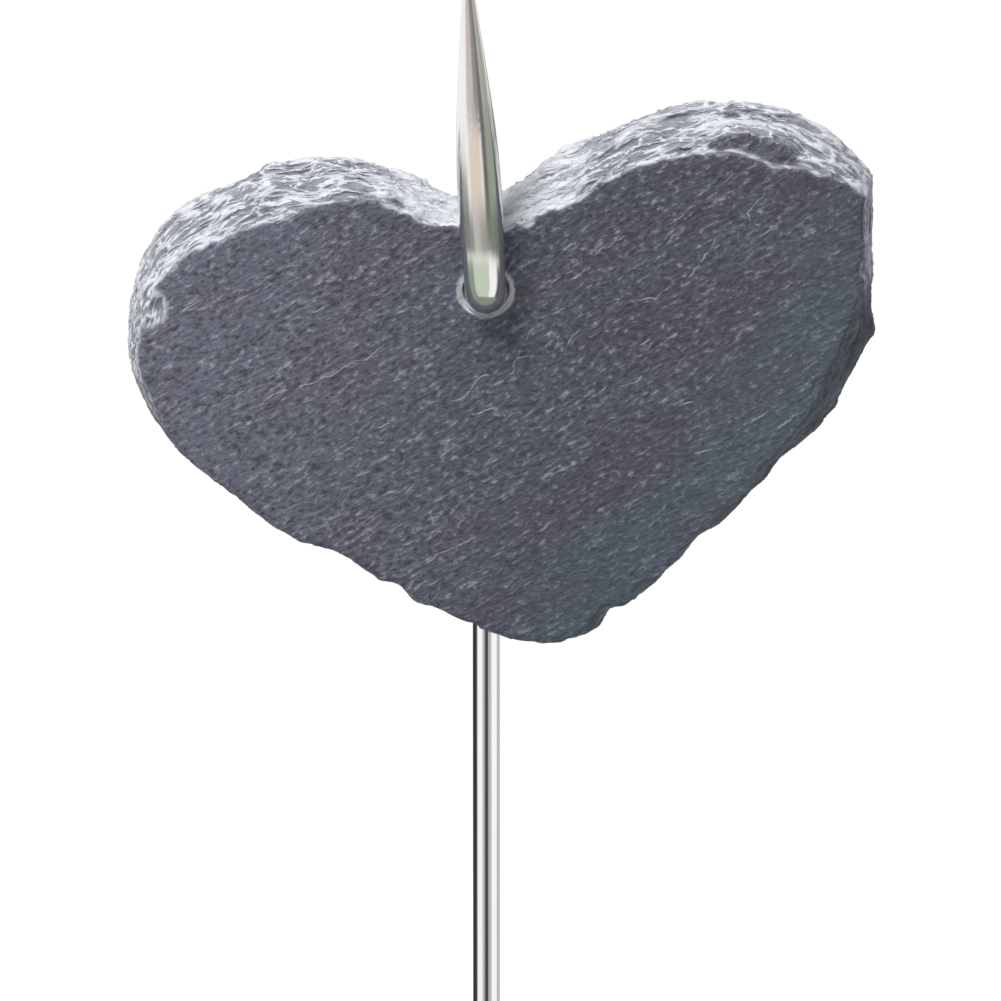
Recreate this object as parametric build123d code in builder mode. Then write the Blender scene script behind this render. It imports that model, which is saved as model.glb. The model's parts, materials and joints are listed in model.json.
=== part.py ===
from build123d import *
import os
from math import cos, radians, sin

# Plant label stake: a hewn slate heart hangs on a pronged steel hook, which is plugged on a thin steel stake.
# Origin on the stake's axis at soil level, +Z up. The face of the heart looks towards -Y. Millimetres.

# Stake
STAKE_DIAMETER = 3.0
STAKE_ABOVE_SOIL = 144.0
STAKE_IN_SOIL = 90.0
STAKE_POINT_LENGTH = 12.0
STAKE_POINT_DIAMETER = 0.6
SPIGOT_DIAMETER = 2.4
SPIGOT_LENGTH = 14.0
SPIGOT_CHAMFER = 0.3

# Hook
HOOK_DIAMETER = 4.5
HOOK_LEG_HEIGHT = 26.0
BEND_RADIUS = 3.0
SOCKET_PLAY = 0.1
SOCKET_END_GAP = 1.0
SOCKET_MOUTH_CHAMFER = 0.2
PRONG_LENGTH = 35.5
PRONG_LEAN = 3.0
PRONG_SWELL_DIAMETER = 4.8
PRONG_SWELL_HEIGHT = 9.5
PRONG_TAPER_DIAMETER = 3.7
PRONG_TAPER_HEIGHT = 20.7
PRONG_TIP_DIAMETER = 0.9
PRONG_TIP_ROUNDING = 0.4

# Slate heart: width and height of its front face, and the widest slope of its hewn edge
HEART_WIDTH = 79.0
HEART_HEIGHT = 58.0
SLATE_THICKNESS = 6.5
HEWN_SLOPE = 4.5
HOLE_DIAMETER = 5.2
HOLE_CHAMFER = 0.45

# Clearances of the hanging heart: above the peg, and along the peg on each side of the slate
HANG_GAP = 0.1
PEG_SPARE = 0.3

# Corners of the front face, clockwise from the bottom of the notch. Each holds its place right of and above
# the hole as shares of the width and height, the bulge of the edge to the next corner as a share of that edge
# (below zero for a scallop), and the slope of the hewn edge there as a share of the widest slope.
HEART_CORNERS = [
    (-0.005, 0.129, -0.04, 0.10),
    (0.078, 0.160, 0.00, 0.55),
    (0.129, 0.182, 0.00, 0.95),
    (0.184, 0.239, 0.10, 0.60),
    (0.397, 0.254, 0.08, 0.95),
    (0.520, 0.190, 0.00, 0.15),
    (0.520, 0.000, -0.03, 0.20),
    (0.492, -0.106, -0.04, 0.85),
    (0.451, -0.252, 0.00, 0.70),
    (0.397, -0.347, -0.12, 0.45),
    (0.375, -0.395, 0.05, 0.38),
    (0.292, -0.507, 0.03, 0.38),
    (0.194, -0.648, -0.15, 0.38),
    (0.154, -0.690, 0.15, 0.38),
    (0.015, -0.711, 0.00, 0.38),
    (-0.100, -0.640, -0.16, 0.38),
    (-0.146, -0.600, -0.08, 0.38),
    (-0.256, -0.521, 0.01, 0.38),
    (-0.412, -0.348, 0.10, 0.38),
    (-0.477, -0.081, 0.11, 0.25),
    (-0.382, 0.094, 0.00, 0.68),
    (-0.289, 0.141, 0.07, 0.92),
    (-0.165, 0.186, 0.02, 0.40),
    (-0.092, 0.152, -0.07, 0.40),
]

# Places that follow from the sizes
hook_radius = HOOK_DIAMETER / 2
hole_radius = HOLE_DIAMETER / 2
peg_height = STAKE_ABOVE_SOIL + HOOK_LEG_HEIGHT
peg_length = SLATE_THICKNESS + 2 * PEG_SPARE
peg_rear = (0, -BEND_RADIUS, peg_height)
peg_front = (0, -BEND_RADIUS - peg_length, peg_height)
slate_middle = -BEND_RADIUS - peg_length / 2
hole_height = peg_height + hook_radius + HANG_GAP - hole_radius

# The prong leans to the left of upright, about the peg's axis
forward = Vector(0, -1, 0)
prong_up = Vector(-sin(radians(PRONG_LEAN)), 0, cos(radians(PRONG_LEAN)))
prong_foot = Vector(peg_front) + forward * BEND_RADIUS + prong_up * BEND_RADIUS
prong_flare = Vector(PRONG_SWELL_DIAMETER - HOOK_DIAMETER, PRONG_SWELL_HEIGHT)
prong_taper = Vector(PRONG_TAPER_DIAMETER / 2, PRONG_TAPER_HEIGHT)
prong_tip = Vector(PRONG_TIP_DIAMETER / 2, PRONG_LENGTH)


def heart_corners(slope):
    """Places of the corners round the hole, moved outwards by a share of the hewn slope."""
    places = [Vector(x * HEART_WIDTH, z * HEART_HEIGHT) for x, z, _, _ in HEART_CORNERS]
    count = len(places)
    moved = []
    for i, place in enumerate(places):
        before = (place - places[i - 1]).normalized()
        after = (places[(i + 1) % count] - place).normalized()
        outward = (before + after).rotate(Axis.Z, 90).normalized()
        moved.append(place + outward * slope * HEART_CORNERS[i][3])
    return moved


def draw_heart(plane, slope):
    """Face of the heart on a plane, its edge grown by the hewn slope."""
    corners = heart_corners(slope)
    with BuildSketch(plane) as face:
        with BuildLine():
            for i, corner in enumerate(corners):
                following = corners[(i + 1) % len(corners)]
                bulge = HEART_CORNERS[i][2] * (following - corner).length
                if bulge == 0:
                    Line(corner, following)
                else:
                    SagittaArc(corner, following, bulge)
        make_face()
    return face


os.makedirs("parts", exist_ok=True)

# Stake: a turned rod with its point in the soil and its spigot on top
with BuildPart() as stake_rod:
    with BuildSketch(Plane.XZ) as stake_profile:
        with BuildLine():
            Polyline(
                (0, -STAKE_IN_SOIL),
                (STAKE_POINT_DIAMETER / 2, -STAKE_IN_SOIL),
                (STAKE_DIAMETER / 2, STAKE_POINT_LENGTH - STAKE_IN_SOIL),
                (STAKE_DIAMETER / 2, STAKE_ABOVE_SOIL),
                (SPIGOT_DIAMETER / 2, STAKE_ABOVE_SOIL),
                (SPIGOT_DIAMETER / 2, STAKE_ABOVE_SOIL + SPIGOT_LENGTH),
                (0, STAKE_ABOVE_SOIL + SPIGOT_LENGTH),
                close=True,
            )
        make_face()
    revolve(axis=Axis.Z)
    chamfer(stake_rod.edges().filter_by(GeomType.CIRCLE).sort_by(Axis.Z)[-1], SPIGOT_CHAMFER)

# Hook: a rod up behind the slate, forward through the hole and up again into the prong
hook_foot = Plane.XY.offset(STAKE_ABOVE_SOIL)
with BuildPart() as hook:
    with BuildLine() as rod_line:
        Line((0, 0, STAKE_ABOVE_SOIL), (0, 0, peg_height - BEND_RADIUS))
        TangentArc((0, 0, peg_height - BEND_RADIUS), peg_rear, tangent=(0, 0, 1))
        Line(peg_rear, peg_front)
        TangentArc(peg_front, prong_foot, tangent=forward)
    with BuildSketch(hook_foot) as rod_section:
        Circle(hook_radius)
    sweep(path=rod_line.wire())
    with BuildSketch(Plane(prong_foot, x_dir=forward, z_dir=forward.cross(prong_up))) as prong_profile:
        with BuildLine():
            Spline(
                (hook_radius, 0),
                (PRONG_SWELL_DIAMETER / 2, PRONG_SWELL_HEIGHT),
                prong_taper,
                tangents=[prong_flare, prong_tip - prong_taper],
            )
            Polyline(
                prong_taper,
                prong_tip,
                (0, PRONG_LENGTH),
                (0, 0),
                (hook_radius, 0),
            )
        make_face()
    revolve(axis=Axis(prong_foot, prong_up))
    fillet(hook.edges().filter_by(GeomType.CIRCLE).sort_by(Axis.Z)[-1], PRONG_TIP_ROUNDING)
    with BuildSketch(hook_foot) as socket:
        Circle((SPIGOT_DIAMETER + SOCKET_PLAY) / 2)
    extrude(amount=SPIGOT_LENGTH + SOCKET_END_GAP, mode=Mode.SUBTRACT)
    mouth = hook.faces().sort_by(Axis.Z)[0].inner_wires()[0]
    chamfer(mouth.edges(), SOCKET_MOUTH_CHAMFER)

# Slate heart: the hewn edge slopes out from the front face to the larger back face
hole_plane = Plane((0, slate_middle, hole_height), x_dir=(1, 0, 0), z_dir=(0, -1, 0))
with BuildPart() as slate_heart:
    front_plane = hole_plane.offset(SLATE_THICKNESS / 2)
    front_face = draw_heart(front_plane, 0)
    back_face = draw_heart(hole_plane.offset(-SLATE_THICKNESS / 2), HEWN_SLOPE)
    loft(sections=[back_face.sketch, front_face.sketch], ruled=True)
    with Locations(front_plane):
        Hole(hole_radius, depth=SLATE_THICKNESS)
    rims = slate_heart.edges().filter_by(GeomType.CIRCLE).filter_by(lambda edge: edge.is_closed)
    chamfer(rims, HOLE_CHAMFER)

stake_rod.part.label = "stake_rod"
hook.part.label = "hook"
slate_heart.part.label = "slate_heart"
export_step(stake_rod.part, "parts/stake_rod.step")
export_step(hook.part, "parts/hook.step")
export_step(slate_heart.part, "parts/slate_heart.step")
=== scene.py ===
"""Dresses the plant label: cleft slate with hewn edges, a satin hook, a polished stake and a pale studio."""
import json
import math

import bmesh
import bpy
import numpy as np
from bpy.props import FloatProperty, FloatVectorProperty, IntProperty, PointerProperty
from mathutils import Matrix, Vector, kdtree, noise


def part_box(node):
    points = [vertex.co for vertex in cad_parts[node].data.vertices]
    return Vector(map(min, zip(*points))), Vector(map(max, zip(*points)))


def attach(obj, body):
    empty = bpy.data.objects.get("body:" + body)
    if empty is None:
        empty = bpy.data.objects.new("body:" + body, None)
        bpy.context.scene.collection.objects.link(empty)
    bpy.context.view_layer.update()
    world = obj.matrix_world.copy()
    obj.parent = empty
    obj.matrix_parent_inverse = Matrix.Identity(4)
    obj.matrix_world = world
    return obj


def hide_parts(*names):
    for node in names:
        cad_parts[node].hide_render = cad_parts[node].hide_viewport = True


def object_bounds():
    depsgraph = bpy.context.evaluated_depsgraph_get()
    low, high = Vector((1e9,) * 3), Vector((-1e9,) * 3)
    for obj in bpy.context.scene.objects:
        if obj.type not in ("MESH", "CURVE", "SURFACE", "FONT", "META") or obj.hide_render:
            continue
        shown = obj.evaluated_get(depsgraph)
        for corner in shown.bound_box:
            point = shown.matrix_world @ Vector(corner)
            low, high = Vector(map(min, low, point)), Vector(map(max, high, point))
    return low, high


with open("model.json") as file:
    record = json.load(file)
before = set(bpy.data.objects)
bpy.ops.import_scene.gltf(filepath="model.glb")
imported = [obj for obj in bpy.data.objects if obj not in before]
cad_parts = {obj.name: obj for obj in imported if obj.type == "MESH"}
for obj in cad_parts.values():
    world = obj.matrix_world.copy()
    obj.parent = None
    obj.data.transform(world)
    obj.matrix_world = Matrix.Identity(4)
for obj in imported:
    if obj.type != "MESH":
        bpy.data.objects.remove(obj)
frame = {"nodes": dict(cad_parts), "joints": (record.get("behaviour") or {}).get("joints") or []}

bl_info = {
    "name": "Slate Plant Label",
    "version": (1, 0, 0),
    "blender": (4, 5, 0),
    "location": "3D View > Sidebar > Plant Label",
    "description": "Dresses a hewn slate heart, its steel hook and its stake",
    "category": "Object",
}

MM = 0.001
CAD_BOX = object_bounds()
SLATE_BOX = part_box("slate_heart")
SLATE_FRONT = SLATE_BOX[0].y
SLATE_BACK = SLATE_BOX[1].y
SLATE_THICKNESS = SLATE_BACK - SLATE_FRONT
HOLE = next(Vector(joint["pos_m"]) for joint in frame["joints"] if joint["name"] == "heart_swing")

# Hole of the slate and the chamfer of its rims
HOLE_RADIUS = 2.6 * MM
HOLE_CHAMFER = 0.45 * MM

# Fine cracks on the front face, as places right of and above the hole in millimetres
CRACKS = [
    [(30.2, 11.7), (28.4, 9.3), (28.7, 8.4), (28.3, 7.6)],
    [(25.1, 6.4), (23.5, 3.8), (21.5, 1.0)],
    [(32.1, 8.3), (29.2, 6.2)],
    [(21.7, 7.5), (20.2, 6.5), (19.5, 5.4)],
    [(16.3, -1.0), (18.4, -0.8), (20.3, 0.7)],
    [(16.8, -6.5), (17.9, -5.7)],
    [(14.4, -11.5), (16.3, -10.8), (17.6, -9.5)],
    [(12.2, -12.1), (13.1, -11.3)],
    [(8.7, -6.5), (9.5, -5.4), (10.2, -4.7)],
    [(3.8, -6.4), (4.5, -5.1), (5.5, -4.1)],
    [(2.2, -10.3), (3.0, -9.3), (3.1, -8.1), (4.7, -7.7)],
    [(-4.2, -13.3), (-2.4, -12.6), (-0.4, -9.9), (0.7, -10.0)],
    [(-1.8, -14.8), (1.4, -13.8)],
    [(-1.0, -20.9), (0.7, -19.9)],
    [(-8.3, -4.2), (-6.5, -2.5)],
    [(-25.5, -14.1), (-22.5, -11.9), (-20.9, -11.7), (-16.8, -10.0), (-14.5, -8.3), (-13.2, -8.2),
     (-10.1, -5.5)],
    [(-19.1, -2.7), (-17.3, -1.7)],
    [(-33.4, -2.5), (-30.8, -1.1)],
    [(-12.7, -16.5), (-10.4, -15.8)],
    [(-14.3, -22.2), (-12.7, -21.5)],
    [(-16.4, -26.0), (-15.1, -24.7)],
    [(-7.2, -33.3), (-5.5, -31.7), (-1.6, -29.7), (-1.3, -29.1)],
    [(20.5, -13.7), (22.6, -13.1)],
    [(22.7, -19.3), (24.7, -18.9)],
    [(28.8, -15.8), (29.7, -15.2), (30.6, -14.2)],
    [(31.5, -16.6), (33.4, -15.1)],
    [(34.2, -12.2), (35.5, -11.0), (38.1, -9.9)],
    [(16.5, -33.5), (18.4, -32.7)],
]

# Flat flake scars in the upper hewn edge: place right of the hole and half width in millimetres, depth of
# the flat as a share of the thickness, and how far up the hewn slope it reaches
SCARS = [
    (28.7, 5.4, 0.12, 0.72),
    (26.2, 2.2, 0.66, 0.95),
    (-10.0, 1.8, 0.15, 0.55),
    (-24.0, 2.4, 0.45, 0.80),
]

# A deep chip at the left tip of the front face: its place right of and above the hole, how far in front of
# the face it is struck from and the radius of its hollow, in millimetres
TIP_CHIP = (-37.0, -2.0, 9.5, 10.0)

# Small chips along the front and back rims, with ranges of their radius and depth in millimetres
CHIP_COUNT = 36
CHIP_RADII = (1.5, 3.5)
CHIP_DEPTHS = (0.06, 0.16)

# How far in from the edge the slate is broken into layers, and how far in it is chipped
LAYER_REACH = 6 * MM
CHIP_REACH = 4 * MM

# Depth of the fine lines along the steel
HOOK_LINES = 0.003 * MM
STAKE_LINES = 0.0015 * MM

# Front bend of the hook: where its lean starts above the hole, how long it sets in over, and its slope
BEND_START = 7.6 * MM
BEND_EASE = 4.4 * MM
BEND_LEAN = 0.087

# Key lamp as seen from the hole, and the middle of the picture right of and below the hole
KEY_LAMP_PLACE = Vector((-0.24, -0.42, 0.77))
KEY_LAMP_SIZE = 0.3
PICTURE_RIGHT = 1.57 * MM
PICTURE_BELOW = 22.67 * MM

# Heights of the closed and open ends of the walls of cards, and the lean of the hook's cards, which rise to
# the right where it is below zero
HOOK_WALL_FLOOR = -0.65
HOOK_WALL_TOP = 0.35
HOOK_CARD_LEAN = -0.065
STAKE_WALL_LID = 0.1255
STAKE_WALL_BELOW_GROUND = 0.03

# Tints of the studio cards
WHITE = (1.0, 1.0, 1.0)
WARM = (1.0, 0.87, 0.74)
PINK = (1.0, 0.92, 0.95)
GREEN = (0.88, 1.0, 0.84)
MOSS = (0.74, 1.0, 0.78)

# Studio cards that the hook and the stake mirror: the turn from and to, in degrees right of the camera, the
# height from and to and the softness of the upper and lower ends in millimetres, the level and the tint
HOOK_CARDS = [
    (158, 180, -100, 400, 10, 0.30, WHITE),
    (-180, -168, -100, 400, 10, 0.30, WHITE),
    (-46, -10, 108, 400, 34, 0.60, PINK),
    (-8, 14, 106, 400, 34, 0.42, WHITE),
    (16, 48, 100, 400, 24, 0.28, WHITE),
    (60, 92, 92, 400, 14, 0.48, WHITE),
    (-94, -66, 0, 34, 20, 0.36, WHITE),
    (-36, 10, 34, 76, 24, 0.84, WARM),
    (54, 112, 22, 86, 12, 0.38, GREEN),
    (114, 150, 8, 40, 24, 0.26, WHITE),
    (-126, -106, -44, 14, 12, 0.50, GREEN),
    (-94, -42, -18, 8, 14, 0.20, GREEN),
    (-30, -14, -18, 12, 14, 0.45, WHITE),
    (-4, 46, -18, 10, 14, 0.25, GREEN),
    (54, 180, -30, 8, 14, 0.18, MOSS),
    (34, 44, -8, 108, 12, 0.15, WHITE),
    (-180, -94, -700, -70, 20, 0.20, WHITE),
    (-84, 26, -700, -56, 30, 0.66, GREEN),
    (-100, -66, -700, -56, 30, 0.34, MOSS),
    (38, 64, -700, -50, 30, 1.0, WHITE),
    (84, 180, -700, -60, 20, 0.10, WHITE),
]
STAKE_CARDS = [
    (-70, 70, -200, 200, 10, 0.28, GREEN),
    (-180, 180, -200, 112, 8, 0.50, WHITE),
    (-180, -94, -200, 112, 8, 0.04, WHITE),
    (-72, -40, -200, 112, 8, 1.0, WHITE),
    (-6, 8, -200, 112, 8, 0.06, WHITE),
    (50, 92, -200, 112, 8, 1.0, WHITE),
    (114, 180, -200, 112, 8, 0.52, WHITE),
]


class SlateSettings(bpy.types.PropertyGroup):
    """Shape and colours of the slate heart."""
    mesh_size: FloatProperty(
        name="Mesh Size", description="Edge length of the slate's mesh", default=0.32 * MM, unit="LENGTH")
    step_count: IntProperty(
        name="Layers", description="Broken layers across the hewn edge", default=5)
    break_length: FloatProperty(
        name="Break Length", description="Length of the flakes on the hewn edge", default=10 * MM,
        unit="LENGTH")
    break_depth: FloatProperty(
        name="Break Depth", description="Height of the crests between flakes", default=0.6 * MM,
        unit="LENGTH")
    grain_depth: FloatProperty(
        name="Grain Depth", description="Height of the cleavage grain on the faces", default=0.06 * MM,
        unit="LENGTH")
    grain_angle: FloatProperty(
        name="Grain Angle", description="Rise of the cleavage grain to the right", default=math.radians(34),
        subtype="ANGLE")
    seed: IntProperty(name="Seed", description="Seed of the chips", default=11)
    purple_face: FloatVectorProperty(
        name="Purple Grey", description="Main colour of the cleft face", default=(0.069, 0.063, 0.094),
        subtype="COLOR")
    blue_face: FloatVectorProperty(
        name="Blue Grey", description="Bluish clouds of the cleft face", default=(0.064, 0.085, 0.113),
        subtype="COLOR")
    pale_face: FloatVectorProperty(
        name="Pale Grey", description="Paler left of the cleft face", default=(0.147, 0.150, 0.204),
        subtype="COLOR")
    # Painted shade in the pits of the grain
    pit_shade: FloatVectorProperty(
        name="Pit", description="Dark pits of the grain", default=(0.031, 0.031, 0.047), subtype="COLOR")
    # Painted highlight on the high grain and its flecks; the cracks take the same pale colour
    fleck_highlight: FloatVectorProperty(
        name="Fleck", description="Pale flecks of the grain", default=(0.365, 0.375, 0.445),
        subtype="COLOR")
    # Pale colour of broken slate, painted lighter still as if lit from above; it also paints the crests, the
    # hole ring and the bore
    lit_fresh_edge: FloatVectorProperty(
        name="Fresh Edge", description="Pale slate of fresh breaks", default=(0.69, 0.72, 0.77),
        subtype="COLOR")
    # Painted shade in the hollows between the flakes
    hollow_shade: FloatVectorProperty(
        name="Edge Hollow", description="Grey hollows between the flakes", default=(0.26, 0.275, 0.32),
        subtype="COLOR")


class SteelSettings(bpy.types.PropertyGroup):
    """Finish of the hook and the stake."""
    hook_colour: FloatVectorProperty(
        name="Hook", description="Satin steel of the hook", default=(0.90, 0.88, 0.85), subtype="COLOR")
    hook_roughness: FloatProperty(name="Hook Roughness", description="Gloss of the hook", default=0.13)
    stake_colour: FloatVectorProperty(
        name="Stake", description="Bright steel of the stake", default=(0.92, 0.92, 0.91), subtype="COLOR")
    stake_roughness: FloatProperty(name="Stake Roughness", description="Gloss of the stake", default=0.06)


class StageSettings(bpy.types.PropertyGroup):
    """Camera, lamps and floor."""
    elevation: FloatProperty(
        name="Elevation", description="Camera height above the horizon", default=math.radians(25),
        subtype="ANGLE")
    distance: FloatProperty(
        name="Distance", description="Camera to heart", default=1.3, unit="LENGTH")
    view_width: FloatProperty(
        name="View Width", description="Width of the picture at the heart", default=108.6 * MM,
        unit="LENGTH")
    key_lamp: FloatProperty(
        name="Key Lamp", description="Power of the high lamp", default=9.0, unit="POWER")
    sky: FloatProperty(name="Sky", description="Strength of the even light all round", default=0.33)
    hook_cards: FloatProperty(
        name="Hook Cards", description="Distance of the cards the hook mirrors", default=0.4, unit="LENGTH")
    stake_cards: FloatProperty(
        name="Stake Cards", description="Distance of the cards the stake mirrors", default=0.034,
        unit="LENGTH")


class Wiring:
    """Adds nodes to a tree. An input is a constant or the socket of another node."""

    def __init__(self, tree):
        self.tree = tree

    def add(self, kind, settings=None, *ordered, **named):
        """A new node of a kind, with its settings, and its inputs in order or by name."""
        node = self.tree.nodes.new(kind)
        for key, value in (settings or {}).items():
            setattr(node, key, value)
        for key, value in [*enumerate(ordered), *named.items()]:
            if isinstance(key, str):
                key = key.replace("_", " ")
            if isinstance(value, bpy.types.NodeSocket):
                self.tree.links.new(value, node.inputs[key])
            elif value is not None:
                node.inputs[key].default_value = value
        return node

    def math(self, operation, *values):
        """The result of one operation on numbers."""
        return self.add("ShaderNodeMath", {"operation": operation}, *values).outputs[0]

    def vector(self, operation, *values):
        """The result of one operation on vectors."""
        return self.add("ShaderNodeVectorMath", {"operation": operation}, *values).outputs[0]

    def scaled(self, vector, factor):
        """A vector times a number."""
        return self.add("ShaderNodeVectorMath", {"operation": "SCALE"}, vector, Scale=factor).outputs[0]

    def noise(self, vector, scale, detail=3.0, roughness=0.5):
        """Smooth noise about 0.5, with so many features to the metre."""
        node = self.add("ShaderNodeTexNoise", None, Vector=vector, Scale=scale, Detail=detail,
                        Roughness=roughness)
        return node.outputs[0]

    def drifted(self, place, scale, length):
        """Places moved about by smooth noise, by up to half a length each way."""
        drift = self.add("ShaderNodeTexNoise", None, Vector=place, Scale=scale).outputs["Color"]
        drift = self.vector("SUBTRACT", drift, (0.5, 0.5, 0.5))
        return self.vector("ADD", place, self.scaled(drift, length))

    def crest(self, place, length, shift):
        """One set of crests between broken flakes: 1 on the line of a crest, down to 0 in the hollows."""
        scale = self.math("DIVIDE", 1.0, length)
        moved = self.vector("ADD", place, (shift, shift, shift))
        drifted = self.drifted(moved, self.math("MULTIPLY", scale, 1.6), length)
        cells = self.add("ShaderNodeTexVoronoi", {"feature": "DISTANCE_TO_EDGE"},
                         Vector=drifted, Scale=scale)
        return self.math("MAXIMUM", self.math("MULTIPLY_ADD", cells.outputs["Distance"], -5.0, 1.0), 0.0)

    def crests(self, place, length):
        """Two sets of large crests that meet and part, and one set of fine ones."""
        small = self.math("MULTIPLY", length, 0.6)
        fine = self.math("MULTIPLY", length, 0.28)
        return self.crest(place, length, 0.0), self.crest(place, small, 0.31), self.crest(place, fine, 0.57)


class ShaderWiring(Wiring):
    """Nodes of a material."""

    def blend(self, share, first, second):
        """The first colour with a share of the second laid over it."""
        node = self.add("ShaderNodeMix", {"data_type": "RGBA"})
        for key, value in ((0, share), (6, first), (7, second)):
            if isinstance(value, bpy.types.NodeSocket):
                self.tree.links.new(value, node.inputs[key])
            else:
                node.inputs[key].default_value = value if key == 0 else (*value[:3], 1)
        return node.outputs[2]

    def span(self, value, low, high, out_low=0.0, out_high=1.0):
        """A soft step from one result where the value is low to another where it is high."""
        node = self.add("ShaderNodeMapRange", {"interpolation_type": "SMOOTHSTEP"},
                        value, low, high, out_low, out_high)
        return node.outputs[0]

    def attribute(self, name, kind="Fac"):
        """A mark stored in the mesh, as a number or as a vector."""
        return self.add("ShaderNodeAttribute", {"attribute_name": name}).outputs[kind]

    def mapped(self, angle, stretch, vector):
        """Coordinates turned about the slate's normal, then stretched."""
        turned = self.add("ShaderNodeMapping", None, vector, (0, 0, 0), (0, angle, 0), (1, 1, 1)).outputs[0]
        return self.vector("MULTIPLY", turned, stretch)

    def sum(self, *terms):
        """The sum of pairs of a value and its weight."""
        total = None
        for value, weight in terms:
            part = self.math("MULTIPLY", value, weight)
            total = part if total is None else self.math("ADD", total, part)
        return total


def new_material(name):
    """An empty node material and its wiring."""
    material = bpy.data.materials.new(name)
    material.use_nodes = True
    material.node_tree.nodes.clear()
    return material, ShaderWiring(material.node_tree)


def finish_material(wiring, shader):
    """Wires a shader to the material's output."""
    wiring.add("ShaderNodeOutputMaterial", None, shader)


def slate_material(settings):
    """Cleft slate: clouded grey faces with painted highlights and painted shade on the grain, and broken
    edges of paler slate, painted lighter still where lit, with painted highlights on their crests over
    painted shade in their grey hollows.
    """
    material, w = new_material("cleft_slate")
    place = w.add("ShaderNodeTexCoord").outputs["Object"]
    # Share of break colour: the broken edge with painted light on its upward and left sides, and the bore
    lit_fresh = w.math("MAXIMUM", w.attribute("lit_fresh"), w.attribute("bore"))
    spot = w.add("ShaderNodeSeparateXYZ", None, place).outputs

    # Grain of the cleft face, which rises to the right, and its cracks
    grit = w.noise(w.mapped(settings.grain_angle, (1, 1, 1.5), place), 1250, 4, 0.66)
    wavy = w.drifted(place, 260, 1.2 * MM)
    streak = w.noise(w.mapped(settings.grain_angle, (1, 1, 4.2), wavy), 380, 4, 0.65)
    row = w.noise(w.mapped(settings.grain_angle, (1, 1, 5), place), 95, 3, 0.6)
    strokes = w.noise(w.mapped(settings.grain_angle, (1, 1, 9), wavy), 300, 4, 0.6)
    grain = w.sum((grit, 0.66), (streak, 0.34))
    flecks = w.sum((grain, 0.9), (row, 0.25), (strokes, 0.8))
    side = w.sum((w.noise(place, 800, 3), 0.8 * MM), (w.attribute("crack_side"), 1.0))
    side = w.math("ABSOLUTE", w.math("SUBTRACT", side, 0.4 * MM))
    crack = w.math("MULTIPLY", w.span(side, 0.03 * MM, 0.12 * MM, 1, 0), w.attribute("crack"))
    crack = w.math("MULTIPLY", crack, w.span(w.noise(place, 600, 2), 0.36, 0.56))

    # Clouds of colour on the face, painted shade in the pits and painted highlights on the flecks of its
    # grain, and the pale ring round the hole, drilled slate painted lighter to stand in for the lit bore
    low_right = w.sum((spot["X"], 0.77), (w.math("SUBTRACT", HOLE.z, spot["Z"]), 0.64))
    mottled = w.noise(w.mapped(settings.grain_angle, (1, 1, 2.2), place), 55, 4)
    clouds = w.sum((w.span(mottled, 0.44, 0.60), 0.7), (w.span(low_right, 20 * MM, 34 * MM), 0.5))
    calm = w.span(low_right, 14 * MM, 34 * MM, 1.0, 0.55)
    face = w.blend(clouds, settings.purple_face, settings.blue_face)
    face = w.blend(w.span(spot["X"], 12 * MM, -40 * MM, 0, 0.75), face, settings.pale_face)
    # Painted shade where the grain is low, less of it towards the lower right
    face = w.blend(w.math("MULTIPLY", w.span(grain, 0.38, 0.50, 0.8, 0), calm), face, settings.pit_shade)
    # Painted highlights where the grain and its flecks are high, fewer towards the lower right, and the pale
    # cracks
    face = w.blend(w.math("MULTIPLY", w.span(grit, 0.52, 0.80, 0, 0.6), calm), face, settings.fleck_highlight)
    face = w.blend(w.math("MULTIPLY", w.span(flecks, 1.01, 1.25, 0, 0.8), calm), face, settings.fleck_highlight)
    face = w.blend(w.math("MULTIPLY", crack, 0.85), face, settings.fleck_highlight)
    # Pale ring of drilled slate round the hole, painted lighter and wider to stand in for light on the bore
    # wall
    away = w.vector("MULTIPLY", w.vector("SUBTRACT", place, HOLE), (1, 0, 1))
    reach = w.add("ShaderNodeVectorMath", {"operation": "LENGTH"}, away).outputs["Value"]
    ring = w.sum((reach, 1.0), (w.noise(place, 900, 3), 0.6 * MM))
    rim = HOLE_RADIUS + HOLE_CHAMFER
    face = w.blend(w.span(ring, rim + 0.6 * MM, rim + 0.2 * MM, 0, 0.6), face, settings.lit_fresh_edge)

    # Broken edge, with pale crests over grey hollows: the crests partly bruised slate and partly painted
    # highlight, the hollows painted shade
    band = w.attribute("band", "Vector")
    depth = w.attribute("depth")
    first, second, fine = w.crests(band, settings.break_length)
    broad = w.math("MAXIMUM", first, second)
    fibres = w.noise(band, 800, 4, 0.65)
    # Painted light towards the back rim of the edge, and a painted highlight along its front lip
    upper = w.span(depth, 0.4, 1.0)
    lip = w.math("MULTIPLY", w.span(depth, 0.12, 0.0), w.span(w.noise(band, 260, 2), 0.35, 0.6))
    notch = w.span(w.math("ABSOLUTE", spot["X"]), 14 * MM, 5 * MM)
    # Paler on the crests and ridges: partly bruised slate, partly painted highlight
    bright = w.sum((w.span(broad, 0.58, 0.95), 1.0), (w.span(fine, 0.6, 1.0), 0.15), (fibres, 0.25),
                   (w.noise(band, 160, 2), 0.4), (w.attribute("crest"), 0.3), (upper, 0.15), (lip, 0.4),
                   (notch, 0.8))
    # The edge colour runs from painted shade in the hollows to the pale broken slate, painted lighter as if
    # lit
    edge = w.blend(w.span(bright, 0.35, 1.25), settings.hollow_shade, settings.lit_fresh_edge)
    edge = w.blend(w.math("MULTIPLY", w.attribute("scar"), 0.95), edge, face)
    # The bore takes the pale colour: drilled slate, painted lighter as if lit
    edge = w.blend(w.attribute("bore"), edge, settings.lit_fresh_edge)

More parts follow.
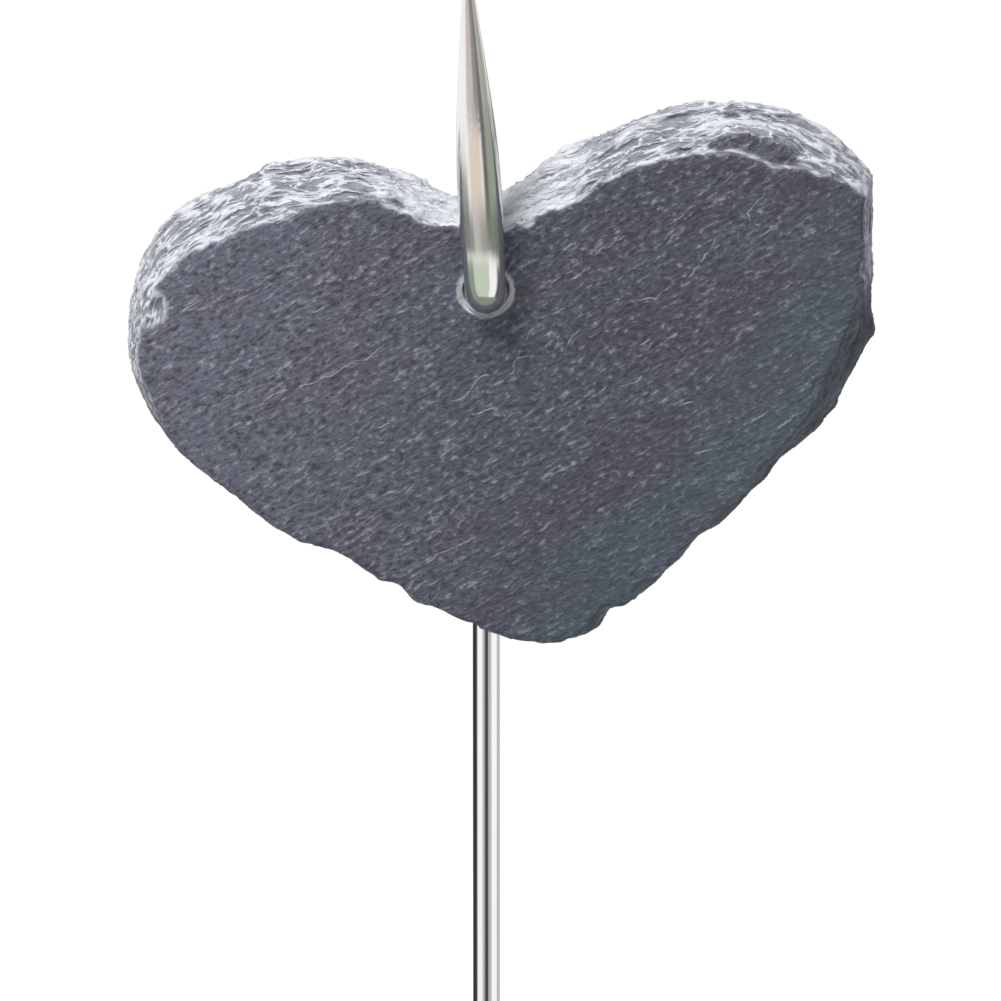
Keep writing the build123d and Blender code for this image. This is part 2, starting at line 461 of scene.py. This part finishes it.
    # Face and edge together, the edge weighted by painted light: its break colour shows where it faces up
    # and left, and its lower sides keep the face colour as painted shade
    colour = w.blend(lit_fresh, face, edge)
    face_height = w.sum((grain, 1.0), (crack, 0.15))
    edge_height = w.sum((fibres, 0.3), (broad, 0.3), (fine, 0.1))
    gap = w.math("SUBTRACT", edge_height, face_height)
    broken = w.math("MULTIPLY", lit_fresh, w.math("SUBTRACT", 1.0, w.attribute("scar")))
    height = w.math("ADD", face_height, w.math("MULTIPLY", gap, broken))
    bump = w.add("ShaderNodeBump", None, Strength=1.0, Distance=0.7 * MM, Height=height).outputs[0]
    shader = w.add("ShaderNodeBsdfPrincipled", None, Base_Color=colour, Roughness=0.6, Normal=bump)
    finish_material(w, shader.outputs[0])
    return material


def steel_material(name, colour, roughness, brush_depth, bend_lean=0.0):
    """Drawn steel rod: fine lines along it, a gloss that varies a little and a lean in to the front bend."""
    material, w = new_material(name)
    place = w.add("ShaderNodeTexCoord").outputs["Object"]
    lines = w.noise(w.vector("MULTIPLY", place, (1, 1, 0.02)), 5000, 3)
    cloud = w.noise(w.vector("MULTIPLY", place, (1, 1, 0.2)), 300, 3)
    gloss = w.sum((cloud, 0.5 * roughness), (lines, 0.5 * roughness), (roughness, 0.5))
    spot = w.add("ShaderNodeSeparateXYZ", None, place).outputs
    below = w.math("MAXIMUM", w.math("SUBTRACT", HOLE.z + BEND_START, spot["Z"]), 0.0)
    start = w.math("MINIMUM", below, BEND_EASE)
    eased = w.math("DIVIDE", w.math("POWER", start, 2.0), 2 * BEND_EASE)
    lean = w.math("SUBTRACT", below, w.math("SUBTRACT", start, eased))
    front = w.span(spot["Y"], SLATE_BACK - 0.3 * SLATE_THICKNESS, SLATE_FRONT)
    height = w.sum((lines, brush_depth), (w.math("MULTIPLY", lean, front), -bend_lean))
    bump = w.add("ShaderNodeBump", None, Strength=1.0, Distance=1.0, Height=height).outputs[0]
    tone = w.blend(w.span(cloud, 0.35, 0.7, 0, 0.3), colour, [0.85 * c for c in colour])
    shader = w.add("ShaderNodeBsdfPrincipled", None, Base_Color=tone, Metallic=1.0, Roughness=gloss,
                   Normal=bump)
    finish_material(w, shader.outputs[0])
    return material


def hole_gap(place):
    """Distance from the axis of the hole."""
    return math.hypot(place.x - HOLE.x, place.z - HOLE.z)


def heart_without_hole():
    """The slate heart as one closed mesh with its hole filled, to be drilled once the edge is broken."""
    mesh = frame["nodes"]["slate_heart"].data.copy()
    shell = bmesh.new()
    shell.from_mesh(mesh)
    bmesh.ops.remove_doubles(shell, verts=shell.verts, dist=1e-6)
    reach = HOLE_RADIUS + 1.5 * HOLE_CHAMFER
    bore = [face for face in shell.faces if all(hole_gap(vert.co) < reach for vert in face.verts)]
    bmesh.ops.delete(shell, geom=bore, context="FACES")
    bmesh.ops.holes_fill(shell, edges=[edge for edge in shell.edges if edge.is_boundary])
    bmesh.ops.recalc_face_normals(shell, faces=shell.faces)
    shell.to_mesh(mesh)
    shell.free()
    return mesh


def bore_mesh(sides=96, flare=1.0 * MM):
    """A turned solid the shape of the hole, flared at both ends by its chamfers."""
    wide = HOLE_RADIUS + HOLE_CHAMFER + flare
    profile = [(SLATE_FRONT - flare, wide), (SLATE_FRONT + HOLE_CHAMFER, HOLE_RADIUS),
               (SLATE_BACK - HOLE_CHAMFER, HOLE_RADIUS), (SLATE_BACK + flare, wide)]
    shell = bmesh.new()
    rings = []
    for depth, radius in profile:
        turns = [2 * math.pi * i / sides for i in range(sides)]
        rings.append([shell.verts.new((HOLE.x + radius * math.cos(t), depth, HOLE.z + radius * math.sin(t)))
                      for t in turns])
    for near, far in zip(rings[:-1], rings[1:]):
        for i in range(sides):
            j = (i + 1) % sides
            shell.faces.new((near[i], near[j], far[j], far[i]))
    shell.faces.new(rings[0])
    shell.faces.new(rings[-1])
    bmesh.ops.recalc_face_normals(shell, faces=shell.faces)
    mesh = bpy.data.meshes.new("bore")
    shell.to_mesh(mesh)
    shell.free()
    return mesh


def with_modifier(mesh, kind, **settings):
    """The mesh with one modifier applied."""
    piece = bpy.data.objects.new("work", mesh)
    bpy.context.scene.collection.objects.link(piece)
    modifier = piece.modifiers.new("work", kind)
    for key, value in settings.items():
        setattr(modifier, key, value)
    result = evaluated_mesh(piece)
    bpy.data.objects.remove(piece)
    return result


def evaluated_mesh(piece):
    """The plain mesh of an object with its modifiers applied."""
    graph = bpy.context.evaluated_depsgraph_get()
    graph.update()
    return bpy.data.meshes.new_from_object(piece.evaluated_get(graph))


def remeshed(mesh, size):
    """The mesh cut anew into even faces of a size."""
    return with_modifier(mesh, "REMESH", mode="VOXEL", voxel_size=size)


def drilled(mesh):
    """The mesh with the hole cut through it."""
    cutter = bpy.data.objects.new("bore", bore_mesh())
    bpy.context.scene.collection.objects.link(cutter)
    result = with_modifier(mesh, "BOOLEAN", operation="DIFFERENCE", solver="EXACT", object=cutter)
    bpy.data.objects.remove(cutter)
    return result


def smoothstep(low, high, value):
    """A soft step from 0 at low to 1 at high."""
    share = np.clip((value - low) / (high - low), 0, 1)
    return share * share * (3 - 2 * share)


def field(points, scale, shift=0.0):
    """Smooth noise between about -1 and 1 at each point, with features of a size."""
    move = Vector((shift, shift, shift))
    return np.array([noise.noise(Vector(point) + move) for point in points / scale])


class HewnEdge:
    """Where each vertex of the slate lies: its depth, its distance from the edge and the way out of it."""

    # Places on the edge that its way out is taken from, and the middle that the edge is walked round
    NEIGHBOURS = 10
    MIDDLE = (2 * MM, 0, -14 * MM)

    def __init__(self, mesh):
        count = len(mesh.vertices)
        self.place = np.empty(count * 3)
        mesh.vertices.foreach_get("co", self.place)
        self.place = self.place.reshape(-1, 3)
        self.normal = np.empty(count * 3)
        mesh.vertex_normals.foreach_get("vector", self.normal)
        self.normal = self.normal.reshape(-1, 3)
        self.depth = (self.place[:, 1] - SLATE_FRONT) / SLATE_THICKNESS
        self.flat = (self.place - np.array(HOLE)) * (1, 0, 1)
        self.hole_distance = np.linalg.norm(self.flat, axis=1)
        self.find_edge()

    def find_edge(self):
        """Distance from the hewn edge, its way out and its slope, from the nearest places on it."""
        deep = (self.depth > 0.2) & (self.depth < 0.8)
        self.rim = np.flatnonzero(deep & (self.hole_distance > 2 * HOLE_RADIUS))
        tree = kdtree.KDTree(len(self.rim))
        for i in self.rim:
            tree.insert(Vector(self.flat[i]), i)
        tree.balance()
        self.distance = np.empty(len(self.place))
        self.outward = np.empty_like(self.place)
        self.slope = np.empty(len(self.place))
        for i, place in enumerate(self.flat):
            found = tree.find_n(Vector(place), self.NEIGHBOURS)
            near = [index for _, index, _ in found]
            way = self.normal[near].mean(axis=0)
            level = math.hypot(way[0], way[2])
            self.distance[i] = found[0][2]
            self.outward[i] = (way[0] / level, 0, way[2] / level)
            self.slope[i] = SLATE_THICKNESS * abs(way[1]) / level

    def belt(self, stretch=4.5, steps=360):
        """Places laid out along the edge, round a circle of its length, and stretched across the edge."""
        away = self.flat - np.array(self.MIDDLE)
        turn = np.arctan2(away[:, 2], away[:, 0])
        reach = np.linalg.norm(away, axis=1)
        bounds = np.linspace(-np.pi, np.pi, steps + 1)
        step = np.clip(np.digitize(turn[self.rim], bounds) - 1, 0, steps - 1)
        mean = np.bincount(step, reach[self.rim], steps) / np.bincount(step, minlength=steps)
        lengths = np.hypot(mean * 2 * np.pi / steps, mean - np.roll(mean, 1))
        along = np.interp(turn, bounds, np.concatenate(([0], np.cumsum(lengths))))
        radius = lengths.sum() / (2 * np.pi)
        outer = np.interp(turn, (bounds[1:] + bounds[:-1]) / 2, mean, period=2 * np.pi)
        across = self.place[:, 1] - SLATE_FRONT + reach - outer
        angle = along / radius
        return np.column_stack((radius * np.cos(angle), radius * np.sin(angle), stretch * across))


def scar_profile(flat, depth, reach):
    """How far up the hewn slope each place lies with the flake scars cut in, and which places are scars."""
    scar = np.zeros(len(depth))
    waver = 0.8 * MM * field(flat, 4 * MM, 11.2)
    for middle, half, start, end in SCARS:
        across = (flat[:, 0] + waver - middle * MM) / (half * MM)
        inside = (np.abs(across) < 1) & (flat[:, 2] > 0)
        arch = start + (end - start) * np.sqrt(np.clip(1 - across ** 2, 0, 1))
        reach = np.where(inside & (depth > start), np.maximum(arch, reach), reach)
        scar = np.maximum(scar, inside * smoothstep(0.12, 0.05, np.abs(depth - start)))
    return reach, scar


def store(mesh, places):
    """Writes moved vertices back to a mesh."""
    mesh.vertices.foreach_set("co", np.ascontiguousarray(places).ravel())
    mesh.update()


def layer_reach(flat, depth, count):
    """How far up the hewn slope each place lies: each layer breaks off in a line, and the lines braid."""
    wavy = depth + 0.10 * field(flat, 13 * MM, 2.9) + 0.04 * field(flat, 3.5 * MM, 7.3)
    layer = np.clip(np.floor(wavy * count), 0, count - 1)
    reach = np.zeros(len(depth))
    outer = np.full(len(depth), -1.0)
    for k in range(count):
        share = k / (count - 1)
        loose = 0.08 + 2.0 * share * (1 - share)
        line = share + loose * (0.7 * field(flat, 8 * MM, 3.7 * k) + 0.35 * field(flat, 2.8 * MM, 5.1 * k))
        outer = np.minimum(np.maximum(outer, line), 1.0)
        reach = np.where(layer == k, outer, reach)
    return reach


def break_layers(mesh, settings):
    """Turns the smooth slope of the hewn edge into broken layers of the slate, with flat flake scars."""
    edge = HewnEdge(mesh)
    shown = np.flatnonzero(edge.distance < LAYER_REACH)
    flat = edge.flat[shown]
    depth = np.clip(edge.depth[shown], 0, 1)
    solid = flat + np.outer(depth, (0, 1.6 * SLATE_THICKNESS, 0))
    reach, _ = scar_profile(flat, depth, layer_reach(flat, depth, settings.step_count))
    shift = edge.slope[shown] * (reach - depth)
    shift += 0.25 * MM * field(solid, 6 * MM, 3.1) + 0.12 * MM * field(solid, 2.2 * MM, 5.7)
    rim = smoothstep(0.4, 0.0, depth)
    shift += 0.25 * MM * field(solid, 1.5 * MM, 9.1) * rim
    upper = smoothstep(0.0, 0.5, edge.outward[shown, 2])
    shift += 0.6 * MM * (field(solid, 3.6 * MM, 1.3) + field(solid, 1.3 * MM, 4.9)) * rim * upper
    fade = np.exp(-(np.clip(edge.distance[shown] - 0.3 * MM, 0, None) / (1.4 * MM)) ** 2)
    places = edge.place.copy()
    places[shown] += edge.outward[shown] * (shift * fade)[:, None]
    store(mesh, places)


def scooped(places, centre, radius, loose):
    """Places with the loose ones pushed out of a ball, which leaves the hollow of a chip."""
    away = places - centre
    reach = np.linalg.norm(away, axis=1)
    inside = loose & (reach < radius)
    places = places.copy()
    places[inside] = centre + away[inside] / reach[inside, None] * radius
    return places


def strike_chips(mesh, settings):
    """Scoops shallow chips out of the front and back rims, and the deep one at the left tip."""
    edge = HewnEdge(mesh)
    draw = np.random.RandomState(settings.seed)
    loose = edge.distance < CHIP_REACH
    right, above, ahead, radius = np.array(TIP_CHIP) * MM
    centre = np.array((HOLE.x + right, SLATE_FRONT - ahead, HOLE.z + above))
    places = scooped(edge.place, centre, radius, loose)
    for index in draw.choice(edge.rim, CHIP_COUNT, replace=False):
        back = float(draw.rand() < 0.5)
        radius = draw.uniform(*CHIP_RADII) * MM
        depth = draw.uniform(*CHIP_DEPTHS) * MM
        nearest = np.argmin(np.linalg.norm(edge.flat - edge.flat[index], axis=1))
        out = edge.outward[nearest] + np.array((0, 0.9 if back else -0.9, 0))
        corner = edge.place[index].copy()
        corner[1] = SLATE_FRONT + SLATE_THICKNESS * back
        corner += edge.outward[nearest] * edge.slope[nearest] * (back - 0.5)
        centre = corner + out / np.linalg.norm(out) * (radius - depth)
        places = scooped(places, centre, radius, loose)
    store(mesh, places)


def relief_tree():
    """Geometry nodes that roughen the broken edge and raise cleavage grain on the faces."""
    tree = bpy.data.node_groups.new("slate_relief", "GeometryNodeTree")
    tree.interface.new_socket("Geometry", in_out="INPUT", socket_type="NodeSocketGeometry")
    for name in ("Break Length", "Break Depth", "Grain Depth", "Grain Angle"):
        tree.interface.new_socket(name, in_out="INPUT", socket_type="NodeSocketFloat")
    tree.interface.new_socket("Material", in_out="INPUT", socket_type="NodeSocketMaterial")
    tree.interface.new_socket("Geometry", in_out="OUTPUT", socket_type="NodeSocketGeometry")
    w = Wiring(tree)
    given = w.add("NodeGroupInput").outputs

    def attribute(name):
        return w.add("GeometryNodeInputNamedAttribute", {"data_type": "FLOAT"}, name).outputs[0]

    def centred(place, scale, detail):
        return w.math("SUBTRACT", w.noise(place, scale, detail), 0.5)

    place = w.add("GeometryNodeInputPosition").outputs[0]
    normal = w.add("GeometryNodeInputNormal").outputs[0]

    # Crests of the broken edge
    band = w.add("GeometryNodeInputNamedAttribute", {"data_type": "FLOAT_VECTOR"}, "band").outputs[0]
    first, second, fine = w.crests(band, given["Break Length"])
    break_height = w.math("SUBTRACT", w.math("MAXIMUM", first, second), 0.5)
    break_height = w.math("ADD", break_height, w.math("MULTIPLY", fine, 0.15))
    break_height = w.math("MULTIPLY", break_height, given["Break Depth"])

    # Swell, streaks and grain of the cleft faces
    turned = w.add("ShaderNodeVectorRotate", {"rotation_type": "Y_AXIS"}, Vector=place,
                   Angle=given["Grain Angle"]).outputs[0]
    swell = centred(place, 60.0, 2.0)
    streak = centred(w.vector("MULTIPLY", turned, (1, 1, 3.0)), 130.0, 3.0)
    grain = centred(w.vector("MULTIPLY", turned, (1, 1, 2.2)), 620.0, 2.0)
    grain_height = w.math("ADD", w.math("MULTIPLY", streak, 1.4), grain)
    grain_height = w.math("ADD", grain_height, w.math("MULTIPLY", swell, 3.0))
    face_height = w.math("MULTIPLY", grain_height, given["Grain Depth"])

    # Each on its own surface, and neither at the rim of the hole
    face_height = w.math("MULTIPLY", face_height, w.math("SUBTRACT", 1.0, attribute("hewn")))
    height = w.math("ADD", face_height, w.math("MULTIPLY", break_height, attribute("rough")))
    height = w.math("MULTIPLY", height, attribute("loose"))
    offset = w.scaled(normal, height)
    moved = w.add("GeometryNodeSetPosition", None, Geometry=given["Geometry"], Offset=offset).outputs[0]
    smooth = w.add("GeometryNodeSetShadeSmooth", None, moved).outputs[0]
    real = w.add("GeometryNodeRealizeInstances", None, smooth).outputs[0]
    done = w.add("GeometryNodeSetMaterial", None, Geometry=real, Material=given["Material"]).outputs[0]
    w.add("NodeGroupOutput", None, done)
    return tree


def set_inputs(modifier, values):
    """Sets a geometry nodes modifier's inputs by the sockets' identifiers."""
    for item in modifier.node_group.interface.items_tree:
        if item.in_out == "INPUT" and item.name in values:
            modifier[item.identifier] = values[item.name]


def crack_marks(edge):
    """The signed distance of each vertex from the nearest crack, and how much it belongs to that crack."""
    flat = edge.flat[:, [0, 2]]
    nearest = np.full(len(flat), 1.0)
    side = np.full(len(flat), 1.0)
    belongs = np.zeros(len(flat))
    for crack in CRACKS:
        points = np.array(crack) * MM
        lengths = np.linalg.norm(np.diff(points, axis=0), axis=1)
        done = 0
        for start, end, length in zip(points[:-1], points[1:], lengths):
            along = (end - start) / length
            part = np.clip((flat - start) @ along, 0, length)
            away = flat - start - part[:, None] * along
            gap = np.linalg.norm(away, axis=1)
            closer = gap < nearest
            nearest = np.where(closer, gap, nearest)
            side = np.where(closer, along[0] * away[:, 1] - along[1] * away[:, 0], side)
            share = (done + part) / lengths.sum()
            ends = smoothstep(0, 0.15, share) * smoothstep(1, 0.85, share)
            belongs = np.where(closer, ends * smoothstep(1.2 * MM, 0.5 * MM, gap), belongs)
            done += length
    return side, belongs * (edge.depth < 0.1)


def bulge(mesh, edge, size):
    """How far each vertex stands out of its neighbours, as a share of the mesh size."""
    ends = np.empty(2 * len(mesh.edges), dtype=np.int32)
    mesh.edges.foreach_get("vertices", ends)
    ends = ends.reshape(-1, 2)
    total = np.zeros_like(edge.place)
    count = np.zeros(len(edge.place))
    for near, far in (ends.T, ends.T[::-1]):
        np.add.at(total, near, edge.place[far])
        np.add.at(count, near, 1)
    away = edge.place - total / count[:, None]
    return np.sum(away * edge.normal, axis=1) / size


def mark_surfaces(mesh, settings):
    """Stores what each vertex is on: hewn edge, pale break, flake scar, crack or the rim of the hole, with
    the pale break painted lighter where the edge faces up and to the left, as if lit.
    """
    edge = HewnEdge(mesh)
    inner = smoothstep(0.015, 0.05, edge.depth) * smoothstep(0.015, 0.05, 1 - edge.depth)
    hewn = inner * (edge.hole_distance > 2 * HOLE_RADIUS)
    depth = np.clip(edge.depth, 0, 1)
    _, scar = scar_profile(edge.flat, depth, depth)
    facing = np.abs(edge.normal[:, 1])
    # Painted light and shade: the break is pale where the edge faces up and to the left, and keeps the dark
    # face colour on its lower sides and at the lower right corner
    corner = smoothstep(1.5 * MM, -4 * MM, edge.flat[:, 2]) * smoothstep(28 * MM, 34 * MM, edge.flat[:, 0])
    pale = smoothstep(-0.6, 0.1, edge.outward[:, 2] - 0.1 * edge.outward[:, 0]) * (1 - corner)
    lit_fresh = hewn * (0.12 + 0.88 * pale)
    side, crack = crack_marks(edge)
    out = bulge(mesh, edge, settings.mesh_size)
    rim = HOLE_RADIUS + HOLE_CHAMFER
    marks = {
        "depth": edge.depth,
        "hewn": hewn,
        "rough": hewn * (0.3 + 0.7 * pale) * (1 - 0.8 * scar),
        "lit_fresh": lit_fresh,
        "scar": hewn * scar * smoothstep(0.6, 0.85, facing),
        # Convex ridges, which the edge colour paints paler: partly bruised slate, partly painted highlight
        "crest": smoothstep(0.06, 0.25, out),
        "loose": smoothstep(rim + 0.05 * MM, rim + 1.2 * MM, edge.hole_distance),
        "crack_side": side,
        "crack": crack,
    }
    for name, values in marks.items():
        layer = mesh.attributes.new(name, "FLOAT", "POINT")
        layer.data.foreach_set("value", np.ascontiguousarray(values))
    band = mesh.attributes.new("band", "FLOAT_VECTOR", "POINT")
    band.data.foreach_set("vector", edge.belt().ravel())
    bore = mesh.attributes.new("bore", "FLOAT", "FACE")
    bore.data.foreach_set("value", [float(hole_gap(face.center) < rim) for face in mesh.polygons])


def sharpen(mesh):
    """Keeps the rims of the hole sharp in a smooth shaded mesh."""
    shell = bmesh.new()
    shell.from_mesh(mesh)
    reach = HOLE_RADIUS + 2 * HOLE_CHAMFER
    for edge in shell.edges:
        if edge.is_manifold and max(hole_gap(vert.co) for vert in edge.verts) < reach:
            edge.smooth = edge.calc_face_angle() < math.radians(25)
    shell.to_mesh(mesh)
    shell.free()


def label_settings():
    """The settings of the scene."""
    scene = bpy.context.scene
    return scene.label_slate, scene.label_steel, scene.label_stage


class LABEL_OT_slate_heart(bpy.types.Operator):
    """Makes the cleft slate heart with its hewn edge in place of the plain solid"""
    bl_idname = "label.slate_heart"
    bl_label = "Slate Heart"

    def execute(self, context):
        slate, _, _ = label_settings()
        mesh = remeshed(heart_without_hole(), slate.mesh_size)
        break_layers(mesh, slate)
        mesh = remeshed(mesh, slate.mesh_size)
        strike_chips(mesh, slate)
        mesh = drilled(mesh)
        mark_surfaces(mesh, slate)
        heart = bpy.data.objects.new("hewn_slate_heart", mesh)
        context.scene.collection.objects.link(heart)
        relief = heart.modifiers.new("relief", "NODES")
        relief.node_group = relief_tree()
        set_inputs(relief, {
            "Break Length": slate.break_length,
            "Break Depth": slate.break_depth,
            "Grain Depth": slate.grain_depth,
            "Grain Angle": slate.grain_angle,
            "Material": slate_material(slate),
        })
        raised = evaluated_mesh(heart)
        heart.modifiers.clear()
        sharpen(raised)
        heart.data = raised
        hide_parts("slate_heart")
        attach(heart, "heart")
        return {"FINISHED"}


def finish_node(name, material):
    """Gives a node of the frame its material."""
    mesh = frame["nodes"][name].data
    mesh.materials.clear()
    mesh.materials.append(material)


class LABEL_OT_hook(bpy.types.Operator):
    """Gives the hook its satin steel"""
    bl_idname = "label.hook"
    bl_label = "Hook"

    def execute(self, context):
        _, steel, _ = label_settings()
        satin = steel_material("satin_steel", steel.hook_colour, steel.hook_roughness, HOOK_LINES, BEND_LEAN)
        finish_node("hook", satin)
        return {"FINISHED"}


class LABEL_OT_stake(bpy.types.Operator):
    """Gives the stake its polished steel"""
    bl_idname = "label.stake"
    bl_label = "Stake"

    def execute(self, context):
        _, steel, _ = label_settings()
        polished = steel_material("polished_steel", steel.stake_colour, steel.stake_roughness, STAKE_LINES)
        finish_node("stake_rod", polished)
        return {"FINISHED"}


def stage_object(name, data):
    """An object of the studio, which isn't part of the label."""
    piece = bpy.data.objects.new(name, data)
    bpy.context.scene.collection.objects.link(piece)
    return piece


def add_lamp(name, place, target, size, power):
    """A square soft lamp that looks at a point."""
    lamp = bpy.data.lights.new(name, "AREA")
    lamp.size = size
    lamp.energy = power
    holder = stage_object(name, lamp)
    holder.location = place
    holder.rotation_euler = (target - place).to_track_quat("-Z", "Y").to_euler()


def add_floor(height, half=6.0):
    """A wide pale floor that stays white to the camera and takes a faint shadow."""
    mesh = bpy.data.meshes.new("floor")
    corners = [(-half, -half, height), (half, -half, height), (half, half, height), (-half, half, height)]
    mesh.from_pydata(corners, [], [(0, 1, 2, 3)])
    material, w = new_material("pale_floor")
    seen = w.add("ShaderNodeLightPath").outputs["Is Camera Ray"]
    matte = w.add("ShaderNodeBsdfDiffuse", None, (0.85, 0.85, 0.85, 1)).outputs[0]
    glow = w.add("ShaderNodeEmission", None, (1, 1, 1, 1), 1.1).outputs[0]
    both = w.add("ShaderNodeMixShader", None, w.math("MULTIPLY", seen, 0.86), matte, glow).outputs[0]
    finish_material(w, both)
    mesh.materials.append(material)
    floor = stage_object("floor", mesh)
    floor.visible_glossy = False


def add_mirror_wall(name, radius, closed_end, open_end, cards, lean=0.0, sides=96, soft_turn=14.0):
    """A round wall of studio cards, closed at one end, that only the steel mirrors. Its cards may lean."""
    mesh = bpy.data.meshes.new(name)
    turns = [2 * math.pi * i / sides for i in range(sides)]
    ring = [(radius * math.cos(t), radius * math.sin(t)) for t in turns]
    corners = [(x, y, closed_end) for x, y in ring] + [(x, y, open_end) for x, y in ring]
    faces = [(i, (i + 1) % sides, sides + (i + 1) % sides, sides + i) for i in range(sides)]
    mesh.from_pydata(corners, [], [*faces, tuple(range(sides))])
    material, w = new_material(name)
    place = w.add("ShaderNodeSeparateXYZ", None, w.add("ShaderNodeTexCoord").outputs["Object"]).outputs
    turn = w.math("ARCTAN2", place["X"], w.math("MULTIPLY", place["Y"], -1.0))
    turn = w.math("DEGREES", turn)
    height = w.sum((place["Z"], 1.0), (place["X"], lean))
    colour = WHITE
    for left, right, low, high, soft, level, tint in cards:
        from_left = w.span(turn, left - soft_turn, left)
        to_right = w.span(turn, right + soft_turn, right)
        across = w.math("MULTIPLY", from_left, to_right)
        along = w.math("MULTIPLY", w.span(height, (low - soft) * MM, low * MM),
                       w.span(height, (high + soft) * MM, high * MM))
        colour = w.blend(w.math("MULTIPLY", across, along), colour, [level * part for part in tint])
    finish_material(w, w.add("ShaderNodeEmission", None, colour, 1.0).outputs[0])
    mesh.materials.append(material)
    wall = stage_object(name, mesh)
    wall.visible_camera = False
    wall.visible_diffuse = False
    wall.visible_transmission = False
    wall.visible_shadow = False


def light_world(strength):
    """Even pale light all round, white to the camera and to the steel."""
    world = bpy.data.worlds.new("studio")
    bpy.context.scene.world = world
    world.use_nodes = True
    world.node_tree.nodes.clear()
    w = ShaderWiring(world.node_tree)
    path = w.add("ShaderNodeLightPath").outputs
    clear = w.math("MAXIMUM", path["Is Camera Ray"], path["Is Glossy Ray"])
    level = w.math("ADD", strength, w.math("MULTIPLY", clear, 1.0 - strength))
    shade = w.add("ShaderNodeBackground", None, (1, 1, 1, 1), level)
    w.add("ShaderNodeOutputWorld", None, shade.outputs[0])


class LABEL_OT_stage(bpy.types.Operator):
    """Sets the floor, the lamps and the camera"""
    bl_idname = "label.stage"
    bl_label = "Stage"

    def execute(self, context):
        _, _, stage = label_settings()
        ground = CAD_BOX[0].z
        add_floor(ground)
        light_world(stage.sky)
        add_mirror_wall("hook_cards", stage.hook_cards, HOOK_WALL_FLOOR, HOOK_WALL_TOP, HOOK_CARDS,
                        lean=HOOK_CARD_LEAN)
        add_mirror_wall("stake_cards", stage.stake_cards, STAKE_WALL_LID, ground - STAKE_WALL_BELOW_GROUND,
                        STAKE_CARDS)
        target = Vector((HOLE.x, SLATE_FRONT, HOLE.z))
        add_lamp("key_lamp", target + KEY_LAMP_PLACE, target, KEY_LAMP_SIZE, stage.key_lamp)

        up = Vector((0, math.sin(stage.elevation), math.cos(stage.elevation)))
        back = Vector((0, -math.cos(stage.elevation), math.sin(stage.elevation)))
        aim = target + Vector((PICTURE_RIGHT, 0, 0)) - up * PICTURE_BELOW
        lens = bpy.data.cameras.new("camera")
        lens.lens = lens.sensor_width * stage.distance / stage.view_width
        lens.clip_start = 0.05
        camera = stage_object("camera", lens)
        camera.location = aim + back * stage.distance
        camera.rotation_euler = (-back).to_track_quat("-Z", "Y").to_euler()
        context.scene.camera = camera
        context.scene.view_settings.view_transform = "Standard"
        return {"FINISHED"}


OPERATORS = (LABEL_OT_slate_heart, LABEL_OT_hook, LABEL_OT_stake, LABEL_OT_stage)


class LABEL_PT_pieces(bpy.types.Panel):
    """Sizes, colours and pieces of the plant label"""
    bl_idname = "LABEL_PT_pieces"
    bl_label = "Plant Label"
    bl_space_type = "VIEW_3D"
    bl_region_type = "UI"
    bl_category = "Plant Label"

    def draw(self, context):
        for group in label_settings():
            column = self.layout.column()
            for name in group.__annotations__:
                column.prop(group, name)
        for operator in OPERATORS:
            self.layout.operator(operator.bl_idname)


CLASSES = (SlateSettings, SteelSettings, StageSettings, *OPERATORS, LABEL_PT_pieces)


def register():
    for kind in CLASSES:
        bpy.utils.register_class(kind)
    bpy.types.Scene.label_slate = PointerProperty(type=SlateSettings)
    bpy.types.Scene.label_steel = PointerProperty(type=SteelSettings)
    bpy.types.Scene.label_stage = PointerProperty(type=StageSettings)


def unregister():
    del bpy.types.Scene.label_stage
    del bpy.types.Scene.label_steel
    del bpy.types.Scene.label_slate
    for kind in reversed(CLASSES):
        bpy.utils.unregister_class(kind)


def main():
    """Makes every piece and the stage."""
    register()
    bpy.ops.label.slate_heart()
    bpy.ops.label.hook()
    bpy.ops.label.stake()
    bpy.ops.label.stage()


if __name__ == "__main__":
    main()
